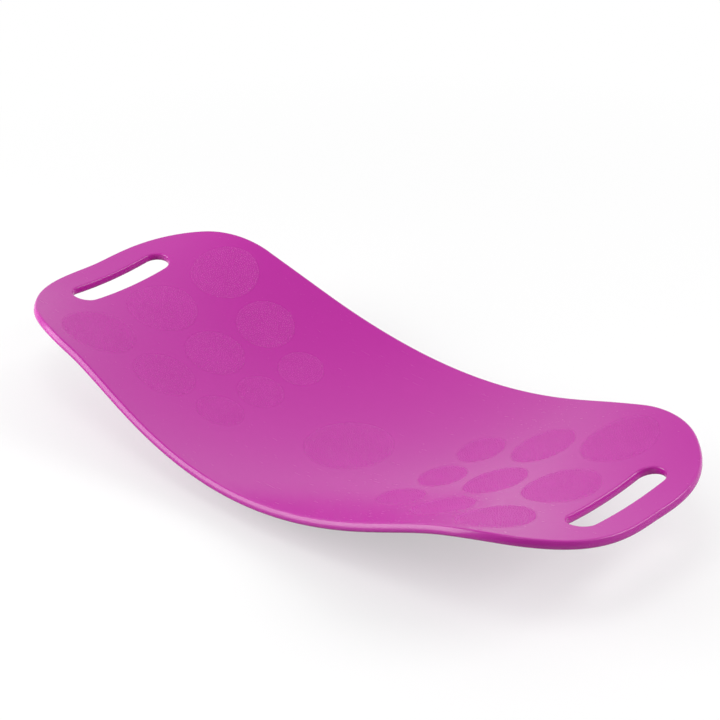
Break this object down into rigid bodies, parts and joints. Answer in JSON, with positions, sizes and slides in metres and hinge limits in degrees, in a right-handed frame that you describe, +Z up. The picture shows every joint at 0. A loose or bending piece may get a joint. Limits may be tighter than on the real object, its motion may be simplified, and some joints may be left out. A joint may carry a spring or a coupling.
{
  "type": "waist twisting board",
  "caption": "Curved, dished plastic board to stand, twist and rock on, with a hand slot through each end and round matte foot grips.",
  "frame": {"origin": "bottom centre, in the middle of the small flat on the underside that the board stands on", "axes": "+Z up, +X along the board's length towards the right hand slot, +Y across its width"},
  "size_m": [0.6614, 0.282, 0.0877],
  "materials": {
    "deck_gloss": "glossy moulded plastic, magenta",
    "medallion_matte": "fine matte grain, bare, magenta",
    "grip_matte": "fine matte grain for bare feet, magenta"
  },
  "bodies": {
    "root": {"deck": "deck_gloss", "centre_medallion": "medallion_matte", "grip_large_left_front": "grip_matte", "grip_large_left_middle": "grip_matte", "grip_large_left_back": "grip_matte", "grip_medium_left_front": "grip_matte", "grip_medium_left_middle": "grip_matte", "grip_medium_left_back": "grip_matte", "grip_small_left_front": "grip_matte", "grip_small_left_middle": "grip_matte", "grip_small_left_back": "grip_matte", "grip_large_right_front": "grip_matte", "grip_large_right_middle": "grip_matte", "grip_large_right_back": "grip_matte", "grip_medium_right_front": "grip_matte", "grip_medium_right_middle": "grip_matte", "grip_medium_right_back": "grip_matte", "grip_small_right_front": "grip_matte", "grip_small_right_middle": "grip_matte", "grip_small_right_back": "grip_matte"}
  },
  "joints": []
}
